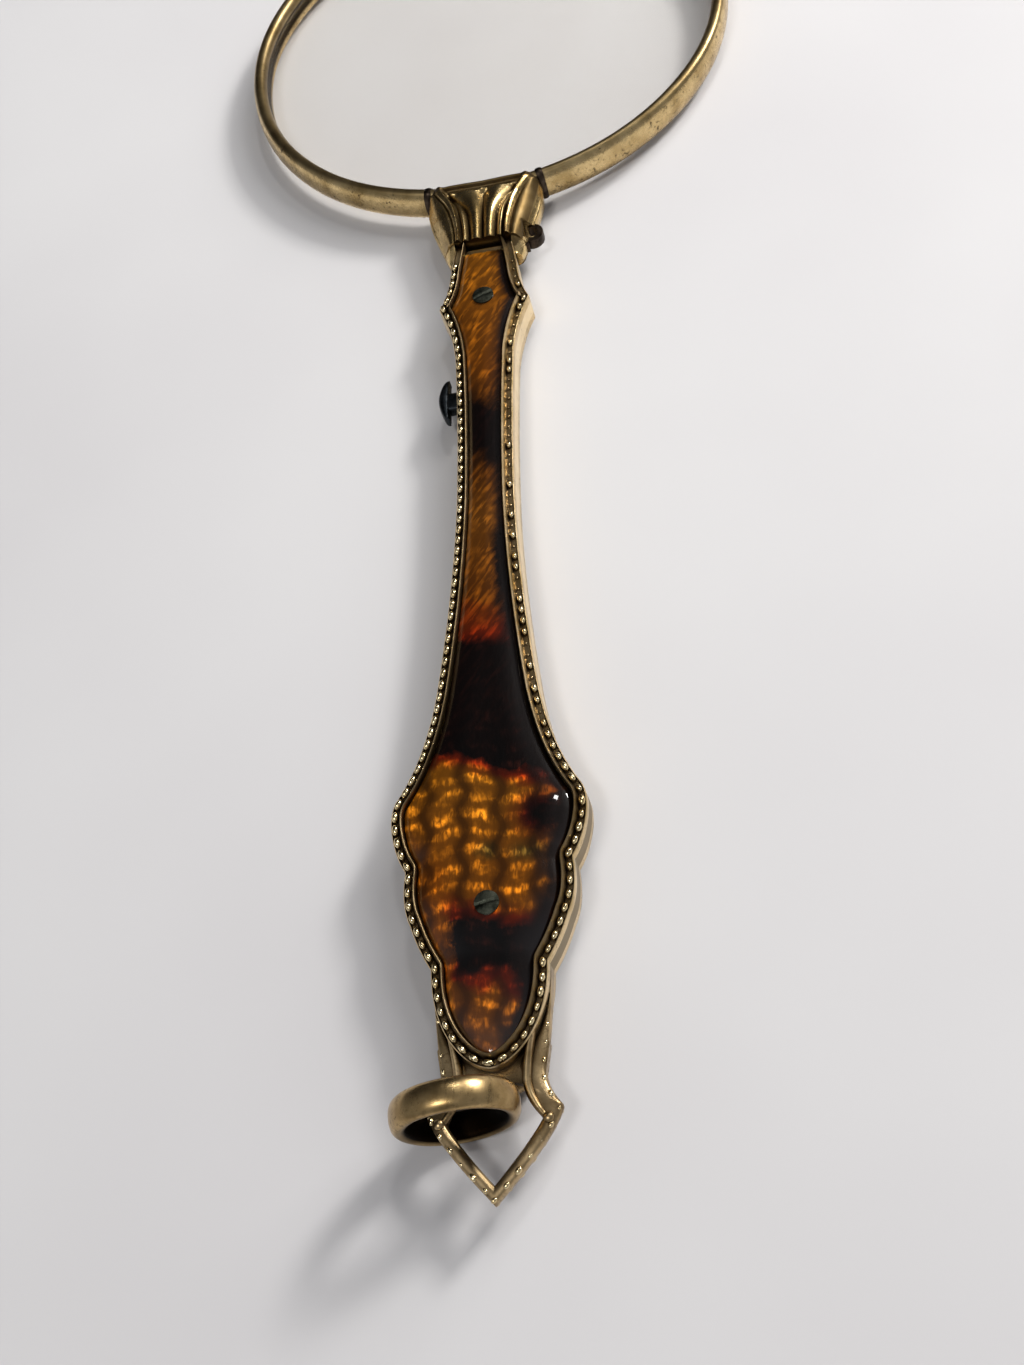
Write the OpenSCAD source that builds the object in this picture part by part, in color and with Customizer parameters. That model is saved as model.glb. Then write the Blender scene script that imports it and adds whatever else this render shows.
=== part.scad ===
// Folding lorgnette: two round lenses on a slim inlaid handle with a suspension ring.
// Millimetres. Origin on the back face where the handle meets the collar, on the centre line.
// +Y runs up the handle to the lenses, +X is the hook side, +Z is the front face's normal.
// The rest pose is open: the second lens lies beyond the first across a sprung bridge hinge.

/* [Lenses] */
// Outer diameter of each round rim
rim_d = 40; // [37:0.5:42]
// Radial thickness of the rim tube
rim_w = 1.3; // [1.2:0.05:1.4]
// Height of the oval rim tube
rim_h = 2.5; // [2.2:0.1:2.6]
// Thickness of a lens at its centre
lens_t = 1.9; // [1.6:0.1:2.2]

/* [Bridge] */
// Clear distance from a rim to the fold axis
bridge_gap = 7; // [6:0.5:9]
// Angle between the handle's line and the line through both lenses
bridge_angle = 35; // [20:1:50]
// Diameter of the hinge pin
hinge_pin_d = 0.9; // [0.8:0.05:1]

/* [Handle] */
// Thickness of the handle over both shells
handle_t = 3.3; // [3.2:0.1:3.6]
// Width of the handle at its widest lobe
shoulder_w = 11.6; // [11:0.1:12.5]
// Length from the collar to the inlay's tip
panel_len = 64; // [62:0.5:66]
// Width of the raised border round the inlay
border_w = 0.75; // [0.6:0.05:0.85]

/* [Latch] */
// How far the button stands out of the side
button_out = 1.6; // [1.5:0.05:1.7]
// Thickness of the lever plate
lever_t = 0.8; // [0.6:0.05:0.9]

/* [Ring] */
// Outer diameter of the suspension ring
ring_d = 7; // [6.8:0.1:7.2]
// Width of the ring's band
ring_w = 1.75; // [1.6:0.05:1.8]

/* [Hidden] */

$fn = 64;
eps = 0.01;
fit = 0.03;

// Levels through the handle
zm = handle_t / 2;
shell_t = 1.1;
floor_t = 0.35;
foil_t = 0.05;
inlay_t = 0.45;
crown_t = 0.2;
lip_t = 0.1;
chamber = handle_t - 2 * shell_t;
zc0 = shell_t;
zc1 = shell_t + chamber;
wall_t = 0.45;

// The outline is drawn for a handle 11.6 wide and 64 long, and scaled to the sizes above
kx = shoulder_w / 11.6;
ky = panel_len / 64;
function at(x, y) = [x * kx, y * ky];

// Quadratic curve from a by way of b towards c, without its end point
arc_n = 6;
function bend(a, b, c, n = arc_n) =
    [for (i = [0:n - 1]) let (t = i / n) (1 - t) * (1 - t) * a + 2 * t * (1 - t) * b + t * t * c];
function flip(points) = [for (i = [len(points) - 1:-1:0]) [-points[i].x, points[i].y]];

waist = at(2.5, -5.2);
bump = at(3.3, -8.4);
neck_top = at(2.1, -13.2);
neck_low = at(1.95, -26);
flare = at(3.15, -40.3);
shoulder = at(5.45, -47.2);
lobe_1 = at(5.8, -49.2);
notch_1 = at(4.9, -51.9);
lobe_2 = at(4.55, -55.2);
notch_2 = at(3.3, -57.9);

// Right half of the handle's edge from the waist to the second notch
half_edge = concat(
    bend(waist, at(2.6, -7), bump),
    bend(bump, at(2.4, -10.3), neck_top),
    bend(neck_top, at(1.85, -19.5), neck_low),
    bend(neck_low, at(2.15, -33), flare),
    bend(flare, at(3.8, -44.6), shoulder),
    bend(shoulder, at(5.95, -47.9), lobe_1),
    bend(lobe_1, at(5.6, -50.8), notch_1),
    bend(notch_1, at(5.15, -53.9), lobe_2),
    bend(lobe_2, at(4.1, -56.6), notch_2));
// Rounded tip that closes the shells, the band and the inlay
half_tip = concat(
    bend(notch_2, at(3.3, -60.3), at(2.25, -61.95)),
    bend(at(2.25, -61.95), at(1.2, -63.5), at(0, -63.6)),
    [at(0, -63.6)]);
panel_top = -2.3;
half_panel = concat([at(2.1, panel_top)], half_edge, half_tip);

// Collar: the wide outline at mid thickness, and the narrower fluted front panel
collar_top = 4.05;
half_collar = concat(
    [at(4.2, collar_top), at(4.4, 3), at(4.4, 2)],
    bend(at(4.35, 1.2), at(3.75, -1.9), at(2.9, -3.2)),
    [at(2.75, -3.6)]);
half_face = concat([at(4.05, collar_top)], bend(at(3.95, 3.3), at(2.2, 0.2), at(2.1, panel_top)),
    [at(2.1, panel_top)]);

// The loop's outer edge from the second notch down, and its heart-shaped opening
loop_t = 1.1;
corner = at(3.75, -65.5);
half_loop = concat(
    bend(notch_2, at(3.3, -60.8), at(2.9, -63.4)),
    bend(at(2.9, -63.4), at(2.75, -64.4), corner),
    bend(corner, at(3.4, -66.9), at(0, -70.4), 10),
    [at(0, -70.4)]);
half_heart = concat(
    bend(at(0, -64.3), at(1.5, -64.2), at(1.9, -64.6)),
    bend(at(1.9, -64.6), at(2.2, -65.4), at(2.65, -66.05)),
    bend(at(2.65, -66.05), at(2, -67.2), at(0, -69.4)),
    [at(0, -69.4)]);

// Rims and bridge
rim_r = rim_d / 2;
rim_in = rim_r - rim_w;
lens_c = [0, rim_r + 3, zm];
split_half = 2;
fold_y = rim_r + bridge_gap;
stack = 3.3;
fold_z = stack / 2;
knuckle_r = 1.15;
knuckle_gap = 0.2;
arm_w = 1.6;
arm_r = 9;
arm_low = -0.25;
crossbar_back = knuckle_r + 0.3;
running = 0.05;

// Latch
pivot = at(0, -60.2);
lever_w = 0.52;
pivot_pin_d = 0.7;
button_y = -16.5;
button_gap = 0.74;
button_wall_x = 1.93 * kx;
hook_c = at(3.45, -1.35);
hook_in = 0.48;
hook_out = 0.9;
catch_r = 0.3;
flute_r = 0.36;
flute_fan = 5;
screw_spots = [at(0, -7.9), at(0, -54.4)];
post_r = 0.75;
thread_r = 0.36;
inlay_head_r = 0.78;
head_t = 0.35;
slot_w = 0.22;

// Ring: centre of the band, and the turn of its axis in plan
ring_c = [-1.87, -65.7, zm + 1.2];
ring_turn = 8;
ring_band = 0.8;

gold = "goldenrod";
shell_brown = "saddlebrown";
blued = "darkslategray";

module outline(half) {
    polygon(concat(half, flip(half)));
}

module slab(z0, z1) {
    translate([0, 0, z0])
        linear_extrude(z1 - z0)
            children();
}

// Turns a back piece into its front twin, or the other way round
module other_face() {
    translate([0, 0, handle_t])
        mirror([0, 0, 1])
            children();
}

// Straight bar with round ends between two points in plan
module link(a, b, w, t) {
    run = b - a;
    translate([a.x, a.y, 0]) {
        cylinder(d = w, h = t);
        rotate([0, 0, atan2(run.y, run.x)])
            translate([0, -w / 2, 0])
                cube([norm(run), w, t]);
    }
    translate([b.x, b.y, 0])
        cylinder(d = w, h = t);
}

// ---- lenses -------------------------------------------------------------------------------

// Section of the oval rim tube, grown by a margin
module rim_section(grow = 0) {
    steps = 20;
    translate([rim_r - rim_w / 2, 0])
        polygon([for (i = [0:steps - 1]) let (a = i * 360 / steps)
            [(rim_w / 2 + grow) * cos(a), (rim_h / 2 + grow) * sin(a)]]);
}

// Ring-shaped tube about the lens centre, open by a half gap either side of its lowest point
module rim_tube(half_gap, grow = 0) {
    open = asin(half_gap / rim_r);
    rotate([0, 0, open - 90])
        rotate_extrude(angle = 360 - 2 * open)
            rim_section(grow);
}

// Full tube used to cut seats for the rim
module rim_cutter(grow) {
    translate(lens_c)
        rotate_extrude()
            rim_section(grow);
}

groove_depth = 0.35;
groove_half = 0.4;
// How far the lens's edge reaches into the rim
lens_bite = 0.2;

module grooved_rim() {
    difference() {
        rim_tube(split_half);
        rotate_extrude()
            polygon([[rim_in - 1, -groove_half - 0.6], [rim_in + groove_depth, 0],
                [rim_in - 1, groove_half + 0.6]]);
    }
}

// Lens with curved faces and a bevelled edge that sits in the rim's groove
module lens_solid() {
    edge_half = 0.25;
    r_edge = rim_in - 0.05;
    steps = 8;
    top = [for (i = [0:steps]) let (x = r_edge * i / steps)
        [x, edge_half + (lens_t / 2 - edge_half) * (1 - pow(x / r_edge, 2))]];
    bottom = [for (i = [steps:-1:0]) [top[i].x, -top[i].y]];
    rotate_extrude()
        polygon(concat(top, [[rim_in + lens_bite, 0]], bottom));
}

// ---- bridge -------------------------------------------------------------------------------

// Frame whose +Y points from the first lens towards the second
module along_bridge() {
    translate(lens_c)
        rotate([0, 0, -bridge_angle])
            children();
}

// Half turn about the fold axis, which takes the closed position to the open one
module unfold() {
    along_bridge()
        translate([0, fold_y, fold_z])
            rotate([180, 0, 0])
                translate([0, -fold_y, -fold_z])
                    rotate([0, 0, bridge_angle])
                        translate(-lens_c)
                            children();
}

knuckle_x = -arm_r;
outer_reach = 3;
inner_reach = 1.2;

// One knuckle with its web back to the crossbar; side is -1 for the first lens's half
module knuckle(x0, x1, side, bore_r) {
    difference() {
        union() {
            translate([x0, fold_y, fold_z])
                rotate([0, 90, 0])
                    cylinder(r = knuckle_r, h = x1 - x0);
            translate([x0, side > 0 ? fold_y : fold_y - crossbar_back - eps, arm_low + 0.75])
                cube([x1 - x0, crossbar_back + eps, fold_z - arm_low - 0.75]);
        }
        translate([x0 - 1, fold_y, fold_z])
            rotate([0, 90, 0])
                cylinder(r = bore_r, h = x1 - x0 + 2);
    }
}

// Curved arm from a rim to its crossbar below the fold axis
module arm(side) {
    difference() {
        union() {
            intersection() {
                translate([0, fold_y, arm_low])
                    rotate_extrude()
                        translate([arm_r - arm_w / 2, 0])
                            square([arm_w, arm_w]);
                translate([-arm_r - arm_w, side > 0 ? fold_y + crossbar_back : 0, arm_low - 1])
                    cube([arm_r, fold_y - crossbar_back, arm_w + 2]);
            }
            translate([knuckle_x - outer_reach, side > 0 ? fold_y + crossbar_back
                    : fold_y - crossbar_back - 1.2, arm_low])
                cube([2 * outer_reach, 1.2, arm_w]);
        }
        translate([0, side > 0 ? 2 * fold_y : 0, 0])
            rotate_extrude()
                rim_section(fit);
        translate([0, side > 0 ? 2 * fold_y : 0, -2])
            cylinder(r = rim_r - rim_w / 2, h = 6);
    }
}

module fixed_hinge_arm() {
    color(gold)
        along_bridge() {
            difference() {
                arm(-1);
                spring_leg(-1, spring_wire + fit);
            }
            knuckle(knuckle_x - outer_reach, knuckle_x - inner_reach - knuckle_gap, -1,
                hinge_pin_d / 2 + eps);
            knuckle(knuckle_x + inner_reach + knuckle_gap, knuckle_x + outer_reach, -1,
                hinge_pin_d / 2 + eps);
        }
}

spring_half = 0.55;
spring_wire = 0.3;
spring_r = hinge_pin_d / 2 + 0.1 + spring_wire / 2;

// Straight end of the torsion spring, which sits in a hole in the crossbar on its side
module spring_leg(side, d) {
    translate([knuckle_x + side * (spring_wire + 0.02), fold_y, fold_z - spring_r])
        rotate([-side * 90, 0, 0])
            cylinder(d = d, h = crossbar_back + 0.8, $fn = 16);
}

module folding_hinge_arm() {
    color(gold)
        along_bridge() {
            difference() {
                arm(1);
                spring_leg(1, spring_wire + fit);
            }
            knuckle(knuckle_x - inner_reach, knuckle_x - spring_half - 0.1, 1,
                hinge_pin_d / 2 + running);
            knuckle(knuckle_x + spring_half + 0.1, knuckle_x + inner_reach, 1,
                hinge_pin_d / 2 + running);
        }
}

module hinge_pin() {
    color("silver")
        along_bridge()
            translate([knuckle_x, fold_y, fold_z])
                rotate([0, 90, 0]) {
                    cylinder(d = hinge_pin_d, h = 2 * outer_reach + 0.4, center = true);
                    for (end = [-1, 1])
                        translate([0, 0, end * (outer_reach + 0.2)])
                            cylinder(r = 0.75, h = 0.3, center = true);
                }
}

// Torsion spring: turns of wire round the pin, with one leg under each half of the bridge
module bridge_spring() {
    turns = 3;
    color(blued)
        along_bridge() {
            for (i = [0:turns - 1])
                translate([knuckle_x + (i - 1) * (spring_wire + 0.02), fold_y, fold_z])
                    rotate([0, 90, 0])
                        rotate_extrude()
                            translate([spring_r, 0])
                                circle(d = spring_wire, $fn = 16);
            for (side = [-1, 1])
                spring_leg(side, spring_wire);
        }
}

// ---- lens units ---------------------------------------------------------------------------

module fixed_rim() {
    color(gold)
        translate(lens_c)
            grooved_rim();
}

module fixed_lens() {
    color("lightcyan", 0.4)
        translate(lens_c)
            lens_solid();
}

module at_folded_lens() {
    unfold()
        translate([0, 0, stack])
            translate(lens_c)
                children();
}

module folding_rim() {
    color(gold)
        at_folded_lens()
            grooved_rim();
}

module folding_lens() {
    color("lightcyan", 0.4)
        at_folded_lens()
            lens_solid();
}

lug_low = handle_t + lip_t + 0.3;
lug_t = 0.9;
lug_block = [3.4, 2.4, 2.2];

// Block that closes the folding rim, with the strap that carries the catch pin
module catch_lug() {
    color(gold)
        unfold()
            difference() {
                union() {
                    translate([-lug_block.x / 2, lens_c.y - rim_r - 0.6, lug_low])
                        cube(lug_block);
                    translate([0, 0, lug_low]) {
                        linear_extrude(lug_t)
                            polygon([[-0.6, 2.6], [1.4, 2.9], hook_c + [0.5, 0.35],
                                hook_c - [0.5, 0.35]]);
                        translate([hook_c.x, hook_c.y, 0])
                            cylinder(r = 0.85, h = lug_t);
                    }
                }
                translate([hook_c.x, hook_c.y, lug_low - 1])
                    cylinder(r = catch_r, h = lug_t + 2);
                translate([lens_c.x, lens_c.y, lug_low - 1])
                    cylinder(r = rim_in + lens_bite + fit, h = lug_block.z + 2, $fn = 180);
                closing_bore(0.3);
            }
}

closing_z = lug_low + lug_t + 0.65;
closing_y = lens_c.y - rim_r - 0.1;
closing_head_t = 0.2;

module closing_bore(r) {
    translate([-lug_block.x, closing_y, closing_z])
        rotate([0, 90, 0])
            cylinder(r = r, h = 2 * lug_block.x);
}

module rim_closing_screw() {
    half = lug_block.x / 2;
    color("dimgray")
        unfold()
            difference() {
                translate([0, closing_y, closing_z])
                    rotate([0, 90, 0]) {
                        translate([0, 0, -half])
                            cylinder(r = 0.3, h = 2 * half);
                        translate([0, 0, half])
                            cylinder(r = 0.6, h = closing_head_t);
                    }
                translate([half + closing_head_t / 2, closing_y - 1, closing_z - slot_w / 2])
                    cube([1, 2, slot_w]);
            }
}

catch_foot = zm - 0.2;

module catch_pin() {
    color("dimgray")
        unfold()
            translate([hook_c.x, hook_c.y, 0]) {
                translate([0, 0, catch_foot])
                    cylinder(r = catch_r, h = lug_low + lug_t - catch_foot);
                translate([0, 0, lug_low + lug_t])
                    cylinder(r = 0.5, h = 0.3);
            }
}

// Steel sleeves where the rim enters the collar, open on the lens side
module rim_ferrules() {
    span = 2.2;
    start = asin(4.25 * kx / rim_r);
    color(blued)
        translate(lens_c)
            for (side = [0, 1])
                mirror([side, 0, 0])
                    rotate([0, 0, start - 90])
                        rotate_extrude(angle = span)
                            difference() {
                                rim_section(0.14);
                                rim_section(0.01);
                                translate([0, -rim_h])
                                    square([rim_in + lens_bite + fit, 2 * rim_h]);
                            }
}

// Block inside the collar that grips the split ends of the fixed rim
module rim_clamp_block() {
    color("dimgray")
        difference() {
            translate([-split_half + fit, 0.75, zc0 - 0.55])
                cube([2 * (split_half - fit), 2.35, chamber + 1.1]);
            translate([0, 1.8, -1])
                cylinder(r = thread_r, h = handle_t);
        }
}

module rim_clamp_screw() {
    color("dimgray")
        difference() {
            translate([0, 1.8, 0]) {
                translate([0, 0, 0.15])
                    cylinder(r = 0.65, h = 0.3);
                translate([0, 0, 0.4])
                    cylinder(r = thread_r - eps, h = 1.4);
            }
            translate([-1, 1.8 - slot_w / 2, 0])
                cube([2, slot_w, 0.3]);
        }
}

// ---- handle -------------------------------------------------------------------------------

// Stamped shell: a floor with a raised border round the recess for the inlay
module shell_solid() {
    difference() {
        slab(0, shell_t)
            outline(half_panel);
        slab(-1, shell_t - floor_t)
            intersection() {
                offset(delta = -border_w)
                    outline(half_panel);
                translate([-20, -100])
                    square([40, 100 + panel_top - 0.5]);
            }
        for (spot = screw_spots)
            translate([spot.x, spot.y, -1])
                cylinder(r = 0.42, h = shell_t + 2);
    }
}

module back_shell() {
    color(gold)
        shell_solid();
}

module front_shell() {
    color(gold)
        other_face()
            shell_solid();
}

// Leaf of engine-turned gilt foil under an inlay
module foil_solid() {
    slab(shell_t - floor_t - foil_t, shell_t - floor_t)
        inlay_outline(0);
}

module inlay_outline(inset) {
    difference() {
        intersection() {
            offset(delta = -border_w - fit - inset)
                outline(half_panel);
            translate([-20, -100])
                square([40, 100 + panel_top - 0.5 - fit - inset]);
        }
        for (spot = screw_spots)
            translate(spot)
                circle(r = inlay_head_r + fit);
    }
}

module back_foil() {
    color("gold")
        foil_solid();
}

module front_foil() {
    color("gold")
        other_face()
            foil_solid();
}

// Tortoiseshell panel with a raised crown
module inlay_solid() {
    top = shell_t - floor_t - foil_t;
    slab(top - inlay_t, top)
        inlay_outline(0);
    slab(top - inlay_t - crown_t, top - inlay_t + eps)
        inlay_outline(0.35);
}

module back_inlay() {
    color(shell_brown)
        inlay_solid();
}

module front_inlay() {
    color(shell_brown)
        other_face()
            inlay_solid();
}

module inlay_screws_solid() {
    head_z = 0.05;
    for (spot = screw_spots)
        translate([spot.x, spot.y, 0])
            difference() {
                union() {
                    translate([0, 0, head_z])
                        cylinder(r = inlay_head_r, h = shell_t - floor_t - foil_t - head_z);
                    translate([0, 0, head_z])
                        cylinder(r = thread_r - eps, h = zm - head_z - 0.05);
                }
                translate([-1, -slot_w / 2, head_z - eps])
                    cube([2, slot_w, head_t / 2]);
            }
}

module back_inlay_screws() {
    color("dimgray")
        inlay_screws_solid();
}

module front_inlay_screws() {
    color("dimgray")
        other_face()
            inlay_screws_solid();
}

module screw_posts() {
    color("dimgray")
        for (spot = screw_spots)
            translate([spot.x, spot.y, zc0])
                difference() {
                    cylinder(r = post_r, h = chamber);
                    translate([0, 0, -1])
                        cylinder(r = thread_r, h = chamber + 2);
                }
}

half_middle = concat(half_collar, half_edge, half_tip);

// Wall between the two shells, open for the button and the hook
module band_solid() {
    difference() {
        slab(zc0, zc1)
            outline(half_middle);
        slab(zc0 - 1, zc1 + 1)
            intersection() {
                offset(delta = -wall_t)
                    outline(half_middle);
                translate([-20, -100])
                    square([40, 100 + 0.3]);
            }
        translate([-split_half, 0.72, zc0 - 1])
            cube([2 * split_half, 2.4, chamber + 2]);
        button_slot();
        hook_slot();
        rim_cutter(0.16);
    }
}

// The two slots part the wall; this is the space on the collar's side of them
module above_slots() {
    translate([-20, button_y, -5])
        cube([20, 40, 15]);
    translate([-eps, hook_c.y - 0.5, -5])
        cube([20 + eps, 40, 15]);
}

module collar_side_band() {
    color(gold)
        intersection() {
            band_solid();
            above_slots();
        }
}

module handle_side_band() {
    color(gold)
        difference() {
            band_solid();
            above_slots();
        }
}

module button_slot() {
    translate([-6, button_y - 0.9, zc0 - 1])
        cube([6, 1.8, chamber + 2]);
}

module hook_slot() {
    translate([hook_c.x - catch_r - 0.15, hook_c.y - 1.55, zc0 - 1])
        cube([4, 3, chamber + 2]);
    translate([1, hook_c.y - 1.35, zc0 - 1])
        cube([4, 0.95, chamber + 2]);
}

// Half of the collar: a wide layer against the side band and the narrower fluted panel
module collar_solid() {
    difference() {
        union() {
            slab(0.45, shell_t)
                intersection() {
                    outline(half_collar);
                    translate([-20, panel_top])
                        square([40, 20]);
                }
            slab(-lip_t, 0.45 + eps)
                outline(half_face);
        }
        rim_cutter(0.16);
        translate([-split_half, 0.72, zc0 - 0.56])
            cube([2 * split_half, 2.4, 2]);
        translate([hook_c.x - catch_r - 0.15, hook_c.y - 1.55, -1])
            cube([4, 3, 4]);
        flutes();
    }
}

// Fan of round-bottomed flutes, open at both ends of the collar's panel
module flutes() {
    for (i = [-2:2])
        translate([i * 0.8 * kx, panel_top, -lip_t - 0.2])
            rotate([-90, 0, -i * flute_fan])
                translate([0, 0, -1])
                    cylinder(r = flute_r, h = 10, $fn = 32);
}

module collar_back() {
    color(gold)
        difference() {
            collar_solid();
            translate([0, 1.8, -1])
                cylinder(r = 0.68, h = 1.48);
            translate([0, 1.8, -1])
                cylinder(r = 0.4, h = 3);
            translate([-10, -5, -1])
                cube([20, 15, 1]);
        }
}

module collar_front() {
    color(gold)
        other_face()
            collar_solid();
}

// Open heart-shaped loop whose shoulders wrap round the tip of the handle
module ring_loop() {
    color(gold)
        slab(zm - loop_t / 2, zm + loop_t / 2)
            difference() {
                outline(half_loop);
                outline(half_panel);
                outline(half_heart);
            }
}

// ---- latch --------------------------------------------------------------------------------

// Bends of the lever from its pivot, past the posts, to the arm of the hook
lever_path = [pivot, at(-1.55, -56.8), at(-1.6, -52.5), at(-0.4, -39), at(-0.4, -13),
    at(1.05, -9), at(1.05, -7), at(0.6, -5), at(1.1, -2.35), hook_c + [-0.2, -0.88]];

// Point on one side of a bent strip at its i-th corner; a negative width gives the other side
function unit(v) = v / norm(v);
function quarter(v) = [-v.y, v.x];
function strip_edge(path, i, w) =
    let (last = len(path) - 1, k0 = max(i, 1), k1 = min(i + 1, last),
        n0 = quarter(unit(path[k0] - path[k0 - 1])),
        n1 = quarter(unit(path[k1] - path[k1 - 1])),
        n = unit(n0 + n1))
    path[i] + n * w / 2 / (n * n0);

// C-shaped end that closes round the catch pin and opens towards the collar
hook_sweep = [for (i = [0:11]) -112 + 224 * i / 11];
hook_outline = concat([for (a = hook_sweep) hook_c + hook_out * [cos(a), sin(a)]],
    [for (i = [11:-1:0]) hook_c + hook_in * [cos(hook_sweep[i]), sin(hook_sweep[i])]]);

module latch_lever() {
    last = len(lever_path) - 1;
    color(blued)
        slab(zm - lever_t / 2, zm + lever_t / 2)
            difference() {
                union() {
                    polygon(concat([for (i = [0:last]) strip_edge(lever_path, i, lever_w)],
                        [for (i = [last:-1:0]) strip_edge(lever_path, i, -lever_w)]));
                    polygon(hook_outline);
                    translate(pivot)
                        circle(r = 0.8);
                }
                translate(pivot)
                    circle(r = pivot_pin_d / 2 + running);
            }
}

module latch_pivot_pin() {
    color("silver")
        translate([pivot.x, pivot.y, zc0])
            cylinder(d = pivot_pin_d, h = chamber);
}

// Leaf spring between the band and the lever, which returns the lever
module latch_return_spring() {
    leaf_t = 0.15;
    leaf_a = at(1.9, -46);
    leaf_b = at(0.2, -34);
    color("silver")
        translate([0, 0, zm - 0.35])
            link(leaf_a, leaf_b, leaf_t, 0.7);
}

// Button riveted to the lever, with its stem through the slot in the band
module release_button() {
    stem_x = button_wall_x + button_gap;
    depth = button_out - button_gap;
    head_h = 1.2;
    back = -0.2;
    color(blued) {
        translate([-stem_x - eps, button_y - 0.6, zm - 0.4])
            cube([stem_x - 0.7 * kx - fit, 1.2, 0.8]);
        translate([-stem_x, button_y, zm - head_h / 2])
            linear_extrude(head_h)
                polygon(concat([[0, 2]], bend([back, 2], [-depth, 1.9], [-depth, 0.8]),
                    bend([-depth, 0.8], [-depth + 0.1, -0.7], [back, -1.45]), [[0, -1.5]]));
    }
}

// ---- ring ---------------------------------------------------------------------------------

// Band with a rounded outside and a flat inside, standing round the loop's left limb
module suspension_ring() {
    steps = 12;
    r_in = ring_d / 2 - ring_band;
    edge = 0.35;
    crown = [for (i = [0:steps]) let (a = 180 * i / steps)
        [r_in + edge + (ring_band - edge) * sin(a), ring_w / 2 * cos(a)]];
    color(gold)
        translate(ring_c)
            rotate([0, 0, ring_turn])
                rotate([90, 0, 0])
                    rotate_extrude()
                        polygon(concat([[r_in, ring_w / 2]], crown, [[r_in, -ring_w / 2]]));
}

front_shell();
back_shell();
handle_side_band();
collar_side_band();
ring_loop();
collar_front();
collar_back();
front_foil();
back_foil();
front_inlay();
back_inlay();
front_inlay_screws();
back_inlay_screws();
screw_posts();
rim_clamp_block();
rim_clamp_screw();
rim_ferrules();
fixed_rim();
fixed_lens();
fixed_hinge_arm();
hinge_pin();
bridge_spring();
latch_pivot_pin();
latch_return_spring();
latch_lever();
release_button();
folding_rim();
folding_lens();
folding_hinge_arm();
catch_lug();
catch_pin();
rim_closing_screw();
suspension_ring();
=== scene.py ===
"""Looks for the folding lorgnette: detailed pieces, materials, floor, light and camera."""

import math
import random

import bmesh
import bpy
import numpy as np
from mathutils import Matrix, Vector


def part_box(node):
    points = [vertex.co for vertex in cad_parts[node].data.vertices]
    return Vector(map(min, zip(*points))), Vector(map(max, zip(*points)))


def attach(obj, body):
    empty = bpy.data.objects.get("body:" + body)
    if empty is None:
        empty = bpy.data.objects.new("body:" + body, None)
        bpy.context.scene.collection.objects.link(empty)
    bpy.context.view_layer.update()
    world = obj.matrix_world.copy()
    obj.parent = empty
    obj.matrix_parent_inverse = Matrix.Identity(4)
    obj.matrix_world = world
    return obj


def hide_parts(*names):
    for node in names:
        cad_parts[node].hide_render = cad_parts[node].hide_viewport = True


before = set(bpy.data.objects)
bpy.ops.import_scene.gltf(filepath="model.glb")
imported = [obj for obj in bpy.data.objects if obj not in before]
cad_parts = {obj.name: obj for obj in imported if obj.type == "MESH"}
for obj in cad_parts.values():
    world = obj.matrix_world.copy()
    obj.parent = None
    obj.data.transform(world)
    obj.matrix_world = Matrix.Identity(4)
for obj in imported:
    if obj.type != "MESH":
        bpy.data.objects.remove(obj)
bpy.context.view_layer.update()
random.seed(11)

# Metres in a millimetre; everything below is in millimetres unless it says otherwise
MM = 0.001
# Handle from back to front, and the middle of it
THICK = 3.3
MID = THICK / 2
# Distance between the two rims when they are folded
STACK = 3.3
# Centre of the first lens along the handle, and the rim's outer radius, width and height
LENS_Y = 23.0
RIM_R = 20.0
RIM_W = 1.3
RIM_H = 2.5


# ---------------------------------------------------------------- plan outlines, in mm

def curve(a, b, c, n=14):
    """Points of a quadratic curve from a by way of b up to c, c left out."""
    out = []
    for i in range(n):
        t = i / n
        out.append((
            (1 - t) ** 2 * a[0] + 2 * t * (1 - t) * b[0] + t * t * c[0],
            (1 - t) ** 2 * a[1] + 2 * t * (1 - t) * b[1] + t * t * c[1],
        ))
    return out


def chain(first, *legs):
    """Curves end to end; each leg is (control point, end point)."""
    out = []
    here = first
    for control, end in legs:
        out += curve(here, control, end)
        here = end
    return out + [here]


HALF_EDGE = chain(
    (2.5, -5.2),
    ((2.6, -7.0), (3.3, -8.4)),
    ((2.4, -10.3), (2.1, -13.2)),
    ((1.85, -19.5), (1.95, -26.0)),
    ((2.15, -33.0), (3.15, -40.3)),
    ((3.8, -44.6), (5.45, -47.2)),
    ((5.95, -47.9), (5.8, -49.2)),
    ((5.6, -50.8), (4.9, -51.9)),
    ((5.15, -53.9), (4.55, -55.2)),
    ((4.1, -56.6), (3.3, -57.9)),
)
HALF_TIP = chain(
    (3.3, -57.9),
    ((3.3, -60.3), (2.25, -61.95)),
    ((1.2, -63.5), (0.0, -63.6)),
)
PANEL_TOP = -2.3
HALF_PANEL = [(2.1, PANEL_TOP)] + HALF_EDGE + HALF_TIP[1:]
HALF_LOOP = chain(
    (3.3, -57.9),
    ((3.3, -60.8), (2.9, -63.4)),
    ((2.75, -64.4), (3.75, -65.5)),
    ((3.4, -66.9), (0.0, -70.4)),
)
HALF_HEART = chain(
    (0.0, -64.3),
    ((1.5, -64.2), (1.9, -64.6)),
    ((2.2, -65.4), (2.65, -66.05)),
    ((2.0, -67.2), (0.0, -69.4)),
)


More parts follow.
